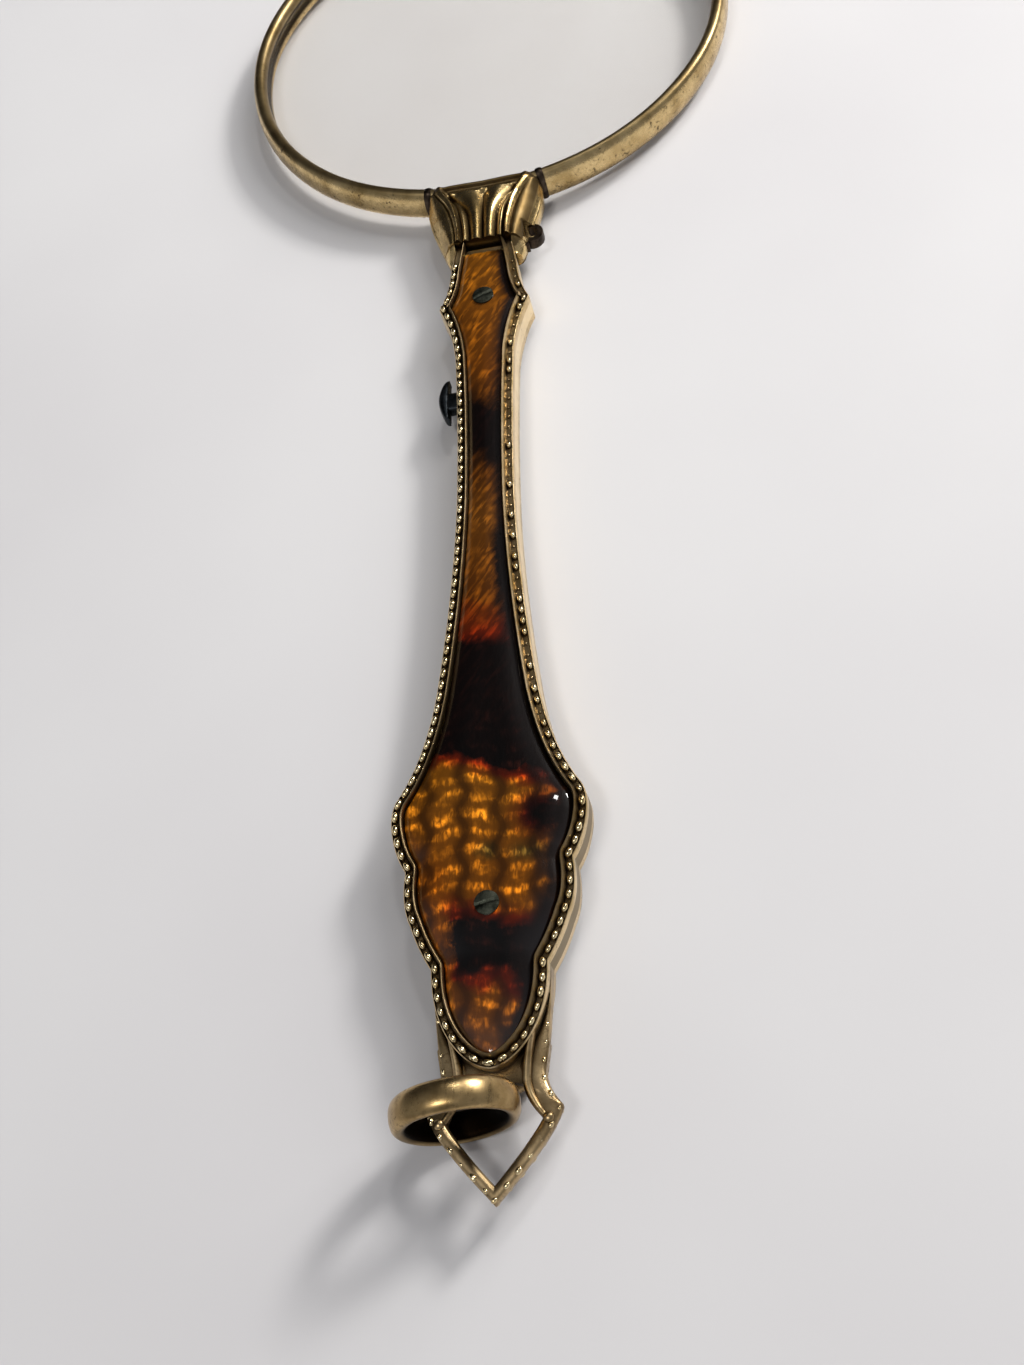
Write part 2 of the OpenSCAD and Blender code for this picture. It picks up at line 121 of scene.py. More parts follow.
def resample(points, step):
    """Points along an outline in equal steps of about the given length."""
    pts = [Vector((p[0], p[1], 0)) for p in points]
    lengths = [0.0]
    for a, b in zip(pts, pts[1:]):
        lengths.append(lengths[-1] + (b - a).length)
    count = max(2, round(lengths[-1] / step))
    out = []
    k = 0
    for i in range(count + 1):
        s = lengths[-1] * i / count
        while k < len(pts) - 2 and lengths[k + 1] < s:
            k += 1
        span = lengths[k + 1] - lengths[k]
        t = (s - lengths[k]) / span if span > 1e-9 else 0
        out.append(pts[k].lerp(pts[k + 1], t))
    return out


def side_normals(path):
    """Unit vectors to the left of travel, in plan."""
    out = []
    for i in range(len(path)):
        before = path[max(i - 1, 0)]
        after = path[min(i + 1, len(path) - 1)]
        t = (after - before).normalized()
        out.append(Vector((-t.y, t.x, 0)))
    return out


def inset(path, amount):
    """Path moved to the right of travel by amount."""
    return [p - n * amount for p, n in zip(path, side_normals(path))]


def turns(count):
    """Angles that divide a full turn evenly."""
    return [2 * math.pi * k / count for k in range(count)]


def boxy(value, power):
    """Sine or cosine pushed outwards, which makes a round section squarer."""
    return math.copysign(abs(value) ** power, value)


def ease(t):
    """Smooth step from 0 to 1."""
    t = min(max(t, 0.0), 1.0)
    return t * t * (3 - 2 * t)


def table(y, rows):
    """Value at y, straight between (y, value) pairs that are listed from the top down."""
    if y >= rows[0][0]:
        return rows[0][1]
    for (y0, v0), (y1, v1) in zip(rows, rows[1:]):
        if y >= y1:
            return v0 + (v1 - v0) * (y0 - y) / (y0 - y1)
    return rows[-1][1]


def nearest(points, fence):
    """Distance in plan from each point to the nearest point of the fence."""
    return np.sqrt(((points[:, None, :] - fence[None, :, :]) ** 2).sum(2)).min(1)


# ---------------------------------------------------------------- meshes

def linked(name, data):
    """New object in the scene that shows the data."""
    obj = bpy.data.objects.new(name, data)
    bpy.context.collection.objects.link(obj)
    return obj


def new_object(name, parts, body, nodes, material, sharp=None):
    """Object from parts in mm that rides on a body and stands for the given CAD nodes."""
    mesh = bpy.data.meshes.new(name)
    mesh.from_pydata([tuple(c * MM for c in v) for v in parts.verts], [], parts.faces)
    bm = bmesh.new()
    bm.from_mesh(mesh)
    bmesh.ops.remove_doubles(bm, verts=bm.verts, dist=1e-7)
    bmesh.ops.recalc_face_normals(bm, faces=bm.faces)
    bm.to_mesh(mesh)
    bm.free()
    obj = linked(name, mesh)
    mesh.shade_smooth()
    if sharp:
        mesh.set_sharp_from_angle(angle=math.radians(sharp))
    mesh.materials.append(material)
    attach(obj, body)
    if nodes:
        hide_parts(*nodes)
    return obj


def set_grime_and_shade(obj, amount):
    """Stores how dark each point is painted, from its place in millimetres; on some pieces this is painted
    shade.
    """
    attribute = obj.data.attributes.new("grime_and_shade", "FLOAT", "POINT")
    for item, vertex in zip(attribute.data, obj.data.vertices):
        x, y, z = vertex.co / MM
        item.value = amount(x, y, z)


class Parts:
    """Collects vertices and faces of several bits of one piece."""

    def __init__(self):
        self.verts = []
        self.faces = []

    def grid(self, rows, close_rows=False, close_cols=False, caps=False):
        """Quads between rows of points, with a face over each end if caps is set."""
        n, m = len(rows), len(rows[0])
        faces = []
        for i in range(n if close_rows else n - 1):
            for j in range(m if close_cols else m - 1):
                i2, j2 = (i + 1) % n, (j + 1) % m
                faces.append((i * m + j, i * m + j2, i2 * m + j2, i2 * m + j))
        if caps:
            faces.append(tuple(range(m - 1, -1, -1)))
            faces.append(tuple(range((n - 1) * m, n * m)))
        base = len(self.verts)
        self.verts += [tuple(p) for row in rows for p in row]
        self.faces += [tuple(i + base for i in f) for f in faces]

    def sweep(self, path, section):
        """Solid bar; section(i) gives (out, z) pairs, and out is to the left of travel."""
        rows = []
        for i, (p, left) in enumerate(zip(path, side_normals(path))):
            rows.append([(p.x + left.x * a, p.y + left.y * a, p.z + z) for a, z in section(i)])
        self.grid(rows, close_cols=True, caps=True)

    def ball(self, centre, along, up, radii, seg=10, rings=6):
        """Ellipsoid with its first radius along the given direction."""
        along = along.normalized()
        side = up.cross(along).normalized()
        rows = []
        for r in range(rings + 1):
            a = math.pi * r / rings
            row = []
            for b in turns(seg):
                v = (centre + along * (radii[0] * math.cos(a))
                     + side * (radii[1] * math.sin(a) * math.cos(b))
                     + up * (radii[2] * math.sin(a) * math.sin(b)))
                row.append(tuple(v))
            rows.append(row)
        self.grid(rows, close_cols=True)

    def flip_front(self):
        """Mirror image through the handle's mid plane."""
        out = Parts()
        out.verts = [(x, y, THICK - z) for x, y, z in self.verts]
        out.faces = [tuple(reversed(f)) for f in self.faces]
        return out


# ---------------------------------------------------------------- materials

class Nodes:
    """Small helper over a node tree."""

    def __init__(self, name):
        self.mat = bpy.data.materials.new(name)
        self.mat.use_nodes = True
        self.tree = self.mat.node_tree
        self.tree.nodes.clear()
        self.out = self.tree.nodes.new("ShaderNodeOutputMaterial")
        self.coords = self.tree.nodes.new("ShaderNodeTexCoord")

    def node(self, kind, **props):
        n = self.tree.nodes.new(kind)
        for k, v in props.items():
            setattr(n, k, v)
        return n

    def link(self, a, b):
        self.tree.links.new(a, b)

    def mapped(self, scale, offset=(0, 0, 0)):
        m = self.node("ShaderNodeMapping")
        m.inputs["Scale"].default_value = scale
        m.inputs["Location"].default_value = offset
        self.link(self.coords.outputs["Object"], m.inputs["Vector"])
        return m.outputs["Vector"]

    def noise(self, per_mm, detail=3, rough=0.55, stretch=(1, 1, 1), offset=(0, 0, 0), distort=0.0,
              vector=None):
        n = self.node("ShaderNodeTexNoise")
        n.inputs["Scale"].default_value = 1.0
        n.inputs["Detail"].default_value = detail
        n.inputs["Roughness"].default_value = rough
        n.inputs["Distortion"].default_value = distort
        if vector is None:
            vector = self.mapped([per_mm * 1000 * s for s in stretch], offset)
        self.link(vector, n.inputs["Vector"])
        return n.outputs["Fac"]

    def ramp(self, fac, stops):
        r = self.node("ShaderNodeValToRGB")
        while len(r.color_ramp.elements) < len(stops):
            r.color_ramp.elements.new(0.5)
        for e, (pos, col) in zip(r.color_ramp.elements, stops):
            e.position = pos
            e.color = col if isinstance(col, tuple) else (col, col, col, 1)
        self.link(fac, r.inputs["Fac"])
        return r.outputs["Color"]

    def math(self, op, a, b=None, clamp=False):
        m = self.node("ShaderNodeMath", operation=op, use_clamp=clamp)
        for i, v in enumerate((a, b)):
            if v is None:
                continue
            if isinstance(v, (int, float)):
                m.inputs[i].default_value = v
            else:
                self.link(v, m.inputs[i])
        return m.outputs[0]

    def plus(self, a, b):
        return self.math("ADD", a, b)

    def minus(self, a, b):
        return self.math("SUBTRACT", a, b)

    def times(self, a, b):
        return self.math("MULTIPLY", a, b)

    def over(self, a, b):
        return self.math("DIVIDE", a, b)

    def mix(self, fac, a, b, blend="MIX"):
        m = self.node("ShaderNodeMix", data_type="RGBA", blend_type=blend)
        for sock, v in ((m.inputs["Factor"], fac), (m.inputs[6], a), (m.inputs[7], b)):
            if isinstance(v, (int, float, tuple)):
                sock.default_value = v
            else:
                self.link(v, sock)
        return m.outputs[2]

    def bump(self, height, strength, mm, normal=None):
        b = self.node("ShaderNodeBump")
        b.inputs["Strength"].default_value = strength
        b.inputs["Distance"].default_value = mm * MM
        self.link(height, b.inputs["Height"])
        if normal:
            self.link(normal, b.inputs["Normal"])
        return b.outputs["Normal"]

    def cavity(self, mm):
        ao = self.node("ShaderNodeAmbientOcclusion", samples=6, only_local=False)
        ao.inputs["Distance"].default_value = mm * MM
        return ao.outputs["AO"]

    def principled(self, **values):
        p = self.node("ShaderNodeBsdfPrincipled")
        for key, v in values.items():
            sock = p.inputs[key.replace("_", " ")]
            if isinstance(v, (int, float, tuple)):
                sock.default_value = v
            else:
                self.link(v, sock)
        self.link(p.outputs[0], self.out.inputs[0])
        return p


def gilt(name, light, deep, patina_and_shade, rough=0.34, speckle=0.5, cavity_mm=0.35, cavity_lo=0.35):
    """Worn gilding: patches of tone, dark specks, tarnish in the hollows, and a darkening stored per point,
    which on some pieces is painted shade.
    """
    m = Nodes(name)
    tone = m.ramp(m.noise(0.45, 4, 0.6), [(0.35, deep), (0.62, light)])
    specks = m.ramp(m.noise(3.6, 4, 0.72, offset=(3, 1, 7)), [(0.53, 0.0), (0.64, 1.0)])
    patches = m.ramp(m.noise(0.8, 3, 0.6, offset=(9, 4, 2)), [(0.42, 0.0), (0.62, 1.0)])
    dirt = m.times(m.times(specks, patches), speckle)
    hollow = m.ramp(m.cavity(cavity_mm), [(cavity_lo, 1.0), (0.82, 0.0)])
    # Darkening stored on each point: tarnish on some pieces, painted shade on others
    grime_and_shade = m.node("ShaderNodeAttribute", attribute_name="grime_and_shade")
    grime_and_shade_mask = m.math("MAXIMUM", m.math("MAXIMUM", dirt, hollow), grime_and_shade.outputs["Fac"], clamp=True)
    color = m.mix(grime_and_shade_mask, tone, patina_and_shade)
    scratch = m.noise(2.2, 4, 0.75, stretch=(1, 0.18, 1), offset=(5, 5, 5))
    roughness = m.plus(m.times(scratch, 0.22), rough - 0.11)
    roughness = m.math("ADD", roughness, m.times(grime_and_shade_mask, 0.22), clamp=True)
    grain = m.noise(9.0, 4, 0.7)
    normal = m.bump(grain, 0.25, 0.012)
    normal = m.bump(scratch, 0.3, 0.02, normal)
    m.principled(Base_Color=color, Metallic=1.0, Roughness=roughness, Normal=normal)
    return m.mat


def steel(name, light, dark, rough):
    """Aged steel: mottled, darker in the hollows, with fine scratches along the piece."""
    m = Nodes(name)
    tone = m.ramp(m.noise(1.6, 4, 0.65), [(0.35, dark), (0.68, light)])
    worn = m.ramp(m.cavity(0.25), [(0.4, 0.0), (0.9, 1.0)])
    color = m.mix(worn, dark, tone)
    fine = m.noise(7.0, 3, 0.6, stretch=(1, 0.2, 1))
    roughness = m.plus(m.times(fine, 0.25), rough - 0.12)
    normal = m.bump(m.noise(6.0, 4, 0.7), 0.35, 0.02)
    m.principled(Base_Color=color, Metallic=1.0, Roughness=roughness, Normal=normal)
    return m.mat


# Near-black of the shell, also used for the painted shade down the bevel
DARK_SHELL = (0.0022, 0.0005, 0.0003, 1)


def shell_zones(m, x, y, fine_drift):
    """Colour zones along the handle with soft dark blots over them."""
    drift = m.times(m.minus(m.noise(0.33, 2, 0.5, offset=(2, 8, 0)), 0.5), 3.0)
    slant = m.times(x, 0.3)
    run = m.plus(m.plus(y, slant), m.plus(drift, fine_drift))
    place = m.over(m.plus(m.times(run, -1.0), -2.0), 62.0)
    amber = (0.150, 0.050, 0.0022, 1)
    dull_amber = (0.12, 0.034, 0.0015, 1)
    brown = (0.055, 0.016, 0.001, 1)
    red = (0.10, 0.008, 0.0006, 1)
    black = DARK_SHELL
    zone = m.ramp(place, [
        (0.0, amber), (0.195, dull_amber), (0.238, brown), (0.262, black), (0.318, black), (0.355, brown),
        (0.41, (0.11, 0.036, 0.003, 1)), (0.52, (0.075, 0.020, 0.001, 1)), (0.553, red), (0.572, black),
        (0.700, black), (0.708, red), (0.722, amber), (0.842, (0.14, 0.04, 0.0015, 1)), (0.856, red),
        (0.866, black), (0.905, black), (0.918, red), (0.93, (0.12, 0.034, 0.002, 1)),
        (1.0, (0.09, 0.026, 0.002, 1)),
    ])
    # The lower dark band leaves a strip of amber along the left edge
    ragged = m.plus(x, m.times(fine_drift, 1.6))
    by_edge = m.ramp(m.plus(m.over(ragged, 10.0), 0.5), [(0.21, 1.0), (0.31, 0.0)])
    in_band = m.ramp(place, [(0.80, 0.0), (0.83, 1.0), (0.93, 1.0), (0.96, 0.0)])
    zone = m.mix(m.times(by_edge, in_band), zone, (0.16, 0.042, 0.0015, 1))

    def blot(cx, cy, rx, ry, soft, color, base, amount=1.0):
        dx = m.over(m.minus(m.plus(x, fine_drift), cx), rx)
        dy = m.over(m.minus(m.plus(y, fine_drift), cy), ry)
        r = m.math("SQRT", m.plus(m.times(dx, dx), m.times(dy, dy)))
        fac = m.ramp(r, [(1.0 - soft, amount), (1.0, 0.0)])
        return m.mix(fac, base, color)

    zone = blot(3.2, -49.2, 2.3, 2.1, 0.65, (0.06, 0.004, 0.0008, 1), zone)
    zone = blot(3.7, -49.3, 2.0, 1.6, 0.6, black, zone)
    zone = blot(0.1, -51.3, 1.0, 0.8, 0.7, (0.035, 0.026, 0.005, 1), zone, 0.8)
    zone = blot(2.3, -51.5, 1.4, 0.9, 0.8, (0.03, 0.024, 0.005, 1), zone, 0.8)
    return blot(1.0, -31.0, 0.75, 7.5, 0.7, black, zone)


def foil_columns(m, x, y):
    """Wavy columns down the foil, dark at their seams."""
    wave = m.times(m.math("SINE", m.times(y, 2.55)), 0.24)
    col = m.over(m.plus(m.plus(x, wave), 1.4), 2.15)
    seam = m.math("ABSOLUTE", m.minus(m.math("FRACT", col), 0.5))
    return m.ramp(seam, [(0.2, 1.0), (0.33, 0.55), (0.44, 0.1)])


def foil_rows(m, x, y):
    """Bright rows across the foil, slightly bent."""
    row_shift = m.times(m.math("SINE", m.times(x, 1.1)), 0.3)
    bend = m.times(m.minus(m.noise(0.9, 2, 0.6, offset=(6, 6, 1)), 0.5), 1.5)
    row = m.plus(m.plus(y, row_shift), bend)
    row = m.over(m.plus(row, 0.3), 1.12)
    row = m.math("ABSOLUTE", m.minus(m.math("FRACT", row), 0.5))
    return m.ramp(row, [(0.08, 1.0), (0.3, 0.12), (0.5, 0.03)])


def silky_streaks(m, x, y):
    """Slanting streaks that the foil shows up the neck."""
    along = m.node("ShaderNodeCombineXYZ")
    m.link(m.times(m.minus(x, m.times(y, 0.7)), 2.3), along.inputs[0])
    m.link(m.times(m.plus(y, m.times(x, 0.7)), 0.5), along.inputs[1])
    silk = m.noise(1.0, 3, 0.5, distort=0.5, vector=along.outputs[0])
    return m.ramp(silk, [(0.45, 0.0), (0.66, 1.0)])


def tortoiseshell(name):
    """Mottled shell over engine-turned foil, under a clear polish."""
    m = Nodes(name)
    xyz = m.node("ShaderNodeSeparateXYZ")
    m.link(m.mapped((1000, 1000, 1000)), xyz.inputs[0])
    x, y = xyz.outputs[0], xyz.outputs[1]
    fine_drift = m.times(m.minus(m.noise(1.3, 3, 0.6), 0.5), 0.9)
    zone = shell_zones(m, x, y, fine_drift)
    lobes = m.ramp(m.over(y, -100.0), [(0.40, 0.0), (0.46, 1.0)])
    neck = m.minus(1.0, lobes)
    # Foil: short strokes in the lobes, silky streaks up the neck
    seam = foil_columns(m, x, y)
    stroke = m.noise(4.2, 2, 0.6, stretch=(1.0, 0.3, 1.0), distort=0.6)
    stroke = m.ramp(stroke, [(0.42, 0.12), (0.66, 1.0)])
    patch = m.ramp(m.noise(0.62, 2, 0.65, offset=(1, 3, 3)), [(0.4, 0.12), (0.6, 1.0)])
    glow = m.times(m.times(foil_rows(m, x, y), stroke), m.times(seam, patch))
    glow = m.times(glow, lobes)
    silk = m.times(m.times(silky_streaks(m, x, y), m.plus(patch, 0.05)), neck)
    gain = m.plus(m.plus(m.times(glow, 8.5), 0.7), m.times(silk, 2.4))
    seam = m.math("MAXIMUM", seam, neck)
    gain = m.times(gain, m.plus(m.times(seam, 0.68), 0.32))
    gray = m.node("ShaderNodeCombineColor")
    for channel in gray.inputs:
        m.link(gain, channel)
    color = m.mix(1.0, zone, gray.outputs[0], blend="MULTIPLY")
    # Painted shade down the bevel on the hook's side, where the foil is out of sight, the border casts its
    # shadow and the bevel reflects the dark room
    shade = m.node("ShaderNodeAttribute", attribute_name="bevel_painted_shade")
    color = m.mix(shade.outputs["Fac"], color, DARK_SHELL)
    normal = m.bump(stroke, 0.15, 0.02)
    p = m.principled(Base_Color=color, Roughness=0.42, Normal=normal, Coat_Weight=1.0,
                     Coat_Roughness=0.045, Coat_IOR=1.52, Specular_IOR_Level=0.1)
    m.link(m.bump(m.noise(0.7, 3, 0.6), 0.12, 0.05), p.inputs["Coat Normal"])
    return m.mat


def lens_glass(name):
    """Clear lens: lets light through with the gloss and faint tint of glass."""
    m = Nodes(name)
    clear = m.node("ShaderNodeBsdfTransparent")
    smudge = m.noise(0.12, 4, 0.6)
    tint = m.ramp(smudge, [(0.3, (0.975, 0.97, 0.96, 1)), (0.7, (0.99, 0.988, 0.98, 1))])
    m.link(tint, clear.inputs["Color"])
    gloss = m.node("ShaderNodeBsdfGlossy")
    gloss.inputs["Roughness"].default_value = 0.02
    facing = m.node("ShaderNodeLayerWeight")
    facing.inputs["Blend"].default_value = 0.5
    mix = m.node("ShaderNodeMixShader")
    grazing = m.math("POWER", facing.outputs["Facing"], 5)
    m.link(m.plus(m.times(grazing, 0.5), 0.025), mix.inputs[0])
    m.link(clear.outputs[0], mix.inputs[1])
    m.link(gloss.outputs[0], mix.inputs[2])
    m.link(mix.outputs[0], m.out.inputs[0])
    return m.mat


def foil(name):
    """Gilt foil with a fine engine-turned wave."""
    m = Nodes(name)
    turned = m.node("ShaderNodeTexWave")
    turned.inputs["Scale"].default_value = 1.0
    turned.inputs["Distortion"].default_value = 2.0
    m.link(m.mapped((1500, 1500, 1500)), turned.inputs["Vector"])
    wave = turned.outputs["Fac"]
    color = m.ramp(wave, [(0.2, (0.5, 0.32, 0.08, 1)), (0.8, (0.85, 0.62, 0.22, 1))])
    m.principled(Base_Color=color, Metallic=1.0, Roughness=0.3, Normal=m.bump(wave, 0.4, 0.03))
    return m.mat


def pale_floor(name):
    """Matt off-white surface under the object."""
    m = Nodes(name)
    color = m.ramp(m.noise(0.02, 3, 0.5), [(0.3, (0.60, 0.59, 0.60, 1)), (0.7, (0.66, 0.655, 0.66, 1))])
    normal = m.bump(m.noise(1.5, 3, 0.6), 0.08, 0.05)
    m.principled(Base_Color=color, Roughness=0.85, Normal=normal)
    return m.mat


GOLD = gilt("gilt", (0.82, 0.62, 0.35, 1), (0.56, 0.40, 0.18, 1), (0.04, 0.022, 0.009, 1), speckle=0.5,
            rough=0.3, cavity_mm=0.55, cavity_lo=0.55)
WALL_GOLD = gilt("gilt_wall", (0.97, 0.80, 0.52, 1), (0.88, 0.69, 0.41, 1), (0.05, 0.03, 0.012, 1),
                 speckle=0.3, rough=0.34, cavity_mm=0.3, cavity_lo=0.3)
BEAD_GOLD = gilt("gilt_beads", (0.95, 0.78, 0.46, 1), (0.72, 0.54, 0.27, 1), (0.05, 0.03, 0.012, 1),
                 rough=0.22, speckle=0.2, cavity_mm=0.15, cavity_lo=0.25)
# The rim's dark colour also paints the dark reflection on its inner slope
RIM_GOLD = gilt("gilt_rim", (0.74, 0.55, 0.27, 1), (0.42, 0.29, 0.12, 1), (0.035, 0.023, 0.011, 1),
                rough=0.27, speckle=0.95, cavity_mm=0.3)
COLLAR_GOLD = gilt("gilt_collar", (0.80, 0.59, 0.28, 1), (0.50, 0.34, 0.13, 1), (0.03, 0.016, 0.006, 1),
                   rough=0.25, speckle=0.5, cavity_mm=0.7, cavity_lo=0.55)
# The ring's darkest colour is also the painted shade on its inner face
RING_GOLD = gilt("gilt_ring", (0.55, 0.385, 0.18, 1), (0.27, 0.175, 0.07, 1), (0.007, 0.004, 0.002, 1),
                 rough=0.3, speckle=0.5, cavity_mm=0.3)
LOOP_GOLD = gilt("gilt_loop", (0.56, 0.41, 0.22, 1), (0.28, 0.19, 0.09, 1), (0.03, 0.018, 0.008, 1),
                 rough=0.34, speckle=0.7, cavity_mm=0.6, cavity_lo=0.6)
STEEL = steel("dull_steel", (0.10, 0.105, 0.08, 1), (0.022, 0.025, 0.018, 1), 0.45)
BLUED = steel("blued_steel", (0.032, 0.036, 0.04, 1), (0.008, 0.01, 0.012, 1), 0.42)
BRIGHT_STEEL = steel("pin_steel", (0.55, 0.55, 0.53, 1), (0.25, 0.25, 0.24, 1), 0.3)
BROWNED = steel("browned_steel", (0.085, 0.062, 0.045, 1), (0.018, 0.012, 0.008, 1), 0.4)
SHELL = tortoiseshell("tortoiseshell")
GLASS = lens_glass("lens_glass")
FOIL = foil("foil")


# ---------------------------------------------------------------- handle

def border_section(_i):
    """Front border: wall, thin edge, seat for the beads and raised lip. Inwards is negative."""
    return [
        (0.0, 2.2), (0.0, 2.72), (-0.02, 2.8), (-0.06, 2.83), (-0.1, 2.78), (-0.13, 2.69),
        (-0.44, 2.67), (-0.5, 2.8), (-0.57, 2.99), (-0.64, 3.15), (-0.69, 3.22), (-0.73, 3.2),
        (-0.755, 3.12), (-0.765, 2.9), (-0.765, 2.5), (-0.5, 2.3), (-0.5, 2.2),
    ]


def panel_plate(parts, margin, z0, z1):
    """Flat plate inside the panel's outline."""
    rows = []
    for p in inset(resample(HALF_PANEL, 0.6), margin):
        x = max(p.x, 0.0)
        y = min(p.y, PANEL_TOP - margin)
        rows.append([(-x, y, z0), (x, y, z0), (x, y, z1), (-x, y, z1)])
    parts.grid(rows, close_cols=True, caps=True)


# Travel is clockwise seen from the front, so the inside lies to the right
EDGE_PATH = resample(
    [(x, y) for x, y in HALF_PANEL] + [(-x, y) for x, y in reversed(HALF_PANEL[:-1])], 0.12)


def bead_row(parts, path, z, pitch, radii, wear):
    """Row of oblong beads along a path, with slight differences between them."""
    jitter = 0.07
    run = 0.0
    due = pitch / 2
    for a, b in zip(path, path[1:]):
        leg = (b - a).length
        while run + leg >= due:
            p = a.lerp(b, (due - run) / leg)
            k = wear(p) * (1 + random.uniform(-jitter, jitter))
            low = z - (1 - k) * radii[2] * 0.8
            parts.ball(Vector((p.x, p.y, low)), b - a, Vector((0, 0, 1)), [r * k for r in radii])
            due += pitch
        run += leg


NECK_END = -45.5


def on_hook_side(x, y):
    """True along the neck's edge below the hook, where the beads are most rubbed and the lip gets no
    painted shade.
    """
    return x > 0 and y > NECK_END


def neck_wear(p):
    """Size of a bead: rubbed flat along the hook's side of the neck, fuller on the other side."""
    if on_hook_side(p.x, p.y):
        return 0.85 if random.random() < 0.3 else 0.3
    if p.x > 0:
        return 0.98 + random.uniform(-0.15, 0.1)
    return 1.0 if p.y < -52 else 1.1


def build_shell(word):
    """Beaded border of one shell with the flat plate that the inlay lies on."""
    parts = Parts()
    parts.sweep(EDGE_PATH, border_section)
    panel_plate(parts, 0.35, 2.2, 2.5)
    beads = Parts()
    bead_row(beads, inset(EDGE_PATH[16:-16], 0.285), 2.87, 0.83, (0.31, 0.185, 0.22), neck_wear)
    if word == "back":
        parts, beads = parts.flip_front(), beads.flip_front()
    obj = new_object(word + "_border", parts, "handle", [word + "_shell"], GOLD, sharp=50)
    edge = np.array([(p.x, p.y) for p in EDGE_PATH])

    # Painted shade on the raised lip, left light along the hook's side of the neck where the light falls
    def lip_painted_shade(x, y, z):
        depth = np.hypot(edge[:, 0] - x, edge[:, 1] - y).min()
        if depth < 0.42 or abs(z - MID) < 1.0:
            return 0.0
        if on_hook_side(x, y):
            return 0.1
        return 0.8 if y > NECK_END else 0.7

    set_grime_and_shade(obj, lip_painted_shade)
    new_object(word + "_beads", beads, "handle", [], BEAD_GOLD)


# Underside of the inlay
INLAY_SEAT = 2.57
# Place, radius and crown of each inlay screw
SCREWS = [((0.0, -7.9), 0.76, 3.18), ((0.0, -54.4), 0.72, 3.35)]


def inlay_outline():
    """Right half of the inlay's outline from the top down, and points all round its edge."""
    half = inset(resample(HALF_PANEL, 0.16), 0.79)
    half = [Vector((max(p.x, 0.0), min(p.y, PANEL_TOP - 0.9), 0)) for p in half]
    kept = [half[0]]
    for p in half[1:]:
        if p.y < kept[-1].y - 0.004:
            kept.append(p)
    outline = np.array([(p.x, p.y) for p in kept])
    head = np.stack([np.linspace(-outline[0, 0], outline[0, 0], 40), np.full(40, outline[0, 1])], 1)
    return outline, np.concatenate([outline, outline * [-1, 1], head])


def set_bevel_painted_shade(obj, fence):
    """Stores painted shade for each point, by how far it lies down the bevel on the hook's side."""
    attribute = obj.data.attributes.new("bevel_painted_shade", "FLOAT", "POINT")
    co = np.zeros(len(obj.data.vertices) * 3)
    obj.data.vertices.foreach_get("co", co)
    co = co.reshape(-1, 3) / MM
    x, y = co[:, 0], co[:, 1]
    side = np.clip(x / 1.3, 0, 1)
    reach = 0.75 + 0.35 * np.clip((-43 - y) / 4, 0, 1) - 0.45 * np.clip((-57 - y) / 3, 0, 1)
    depth = np.clip(1.55 - nearest(co[:, :2], fence) / reach, 0, 1)
    attribute.data.foreach_set("value", (side * depth * 0.98).astype(np.float32))


def build_inlay(word):
    """Domed shell panel, flatter where the handle is slim, with a dimple round each screw."""
    outline, fence = inlay_outline()
    columns = 56
    across = np.sin(np.linspace(-math.pi / 2, math.pi / 2, columns))
    grid = np.array([np.stack([across * x, np.full(columns, y)], 1) for x, y in outline])
    flat = grid.reshape(-1, 2)
    smooth_width = np.convolve(np.pad(outline[:, 0], 12, mode="edge"), np.ones(25) / 25, mode="valid")
    height = 0.26 + 0.34 * np.clip((smooth_width - 1.1) / 3.0, 0, 1)
    t = np.clip(nearest(flat, fence) / 1.8, 0, 1)
    rise = np.sqrt(np.clip(1 - (1 - t) ** 2, 0, 1))
    z = 2.62 + np.repeat(height, columns) * rise + 0.03 * (1 - (flat[:, 0] / 5.5) ** 2)
    for spot, r, _ in SCREWS:
        near = np.hypot(flat[:, 0] - spot[0], flat[:, 1] - spot[1])
        z -= 0.16 * np.clip((r - 0.25 - near) / 0.2, 0, 1)
    rows = []
    for line, heights in zip(grid, z.reshape(len(outline), columns)):
        start, end = line[0], line[-1]
        top = [(x, y, h) for (x, y), h in zip(line, heights)]
        rows.append([(start[0], start[1], INLAY_SEAT)] + top + [(end[0], end[1], INLAY_SEAT)])
    parts = Parts()
    parts.grid([[(x, y, INLAY_SEAT) for x, y, _ in rows[0]]] + rows, close_cols=True)
    if word == "back":
        parts = parts.flip_front()
    obj = new_object(word + "_shell_panel", parts, "handle", [word + "_inlay"], SHELL,
                     sharp=60)
    set_bevel_painted_shade(obj, fence)


def wall_section(_i):
    """Side wall between the two shells. Inwards is negative."""
    return [(-0.38, 1.1), (0.0, 1.1), (0.0, 1.35), (0.0, 1.65), (0.0, 1.95), (0.0, 2.2), (-0.38, 2.2)]


# Ends of the side wall at the button's slot and at the hook's slot
SLOT_TOP, SLOT_LOW = -15.6, -17.4
HOOK_LOW = -3.65


